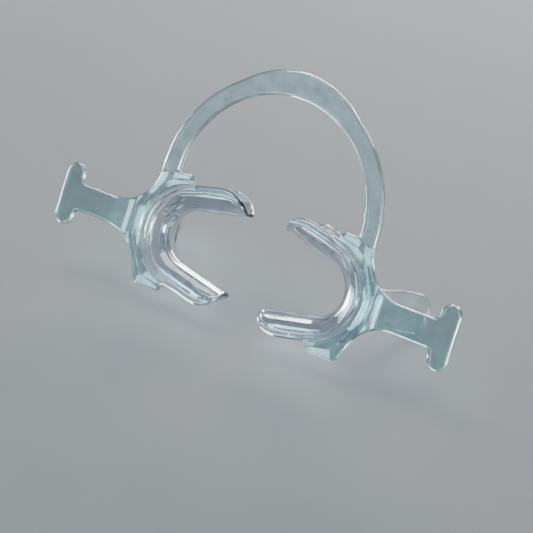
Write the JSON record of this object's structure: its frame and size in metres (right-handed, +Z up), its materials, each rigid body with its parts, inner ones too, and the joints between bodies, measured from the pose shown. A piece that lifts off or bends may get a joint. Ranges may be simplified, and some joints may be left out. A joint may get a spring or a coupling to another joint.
{
  "type": "cheek retractor",
  "caption": "Clear cheek retractor: a sprung bow joins two C-shaped lip channels, each with a face plate, a T-shaped handle and a cheek flap, standing leaned back.",
  "frame": {"origin": "on the table, under the middle of the standing retractor", "axes": "+X across the mouth to the retractor's right as seen from the front, +Y from the front to the back of the stance, +Z up; the face plates lean back 33 degrees from upright"},
  "size_m": [0.175, 0.0544, 0.0877],
  "materials": {
    "clear_band": "clear, polished",
    "clear_plate": "clear with a faint cool tint, polished",
    "clear_channel": "clear, polished"
  },
  "bodies": {
    "root": {"bow_crown": "clear_band"},
    "right_side": {"right_bow_limb": "clear_band", "right_face_plate": "clear_plate", "right_handle": "clear_plate", "right_channel_curve": "clear_channel", "right_upper_arm": "clear_channel", "right_lower_arm": "clear_channel", "right_cheek_flap": "clear_plate"},
    "left_side": {"left_bow_limb": "clear_band", "left_face_plate": "clear_plate", "left_handle": "clear_plate", "left_channel_curve": "clear_channel", "left_upper_arm": "clear_channel", "left_lower_arm": "clear_channel", "left_cheek_flap": "clear_plate"}
  },
  "joints": [
    {"name": "right_bow_flex", "type": "hinge", "parent": "root", "child": "right_side", "pos_m": [0.02501, 0.0185, 0.07529], "axis": [0, 0.8387, -0.5446], "range_deg": [-8, 6], "stiffness_Nm_per_rad": 2.6},
    {"name": "left_bow_flex", "type": "hinge", "parent": "root", "child": "left_side", "pos_m": [-0.02501, 0.0185, 0.07529], "axis": [0, 0.8387, -0.5446], "range_deg": [-6, 8], "stiffness_Nm_per_rad": 2.6}
  ],
  "couplings": [
    {"joint": "left_bow_flex", "follows": "right_bow_flex", "ratio": -1}
  ]
}
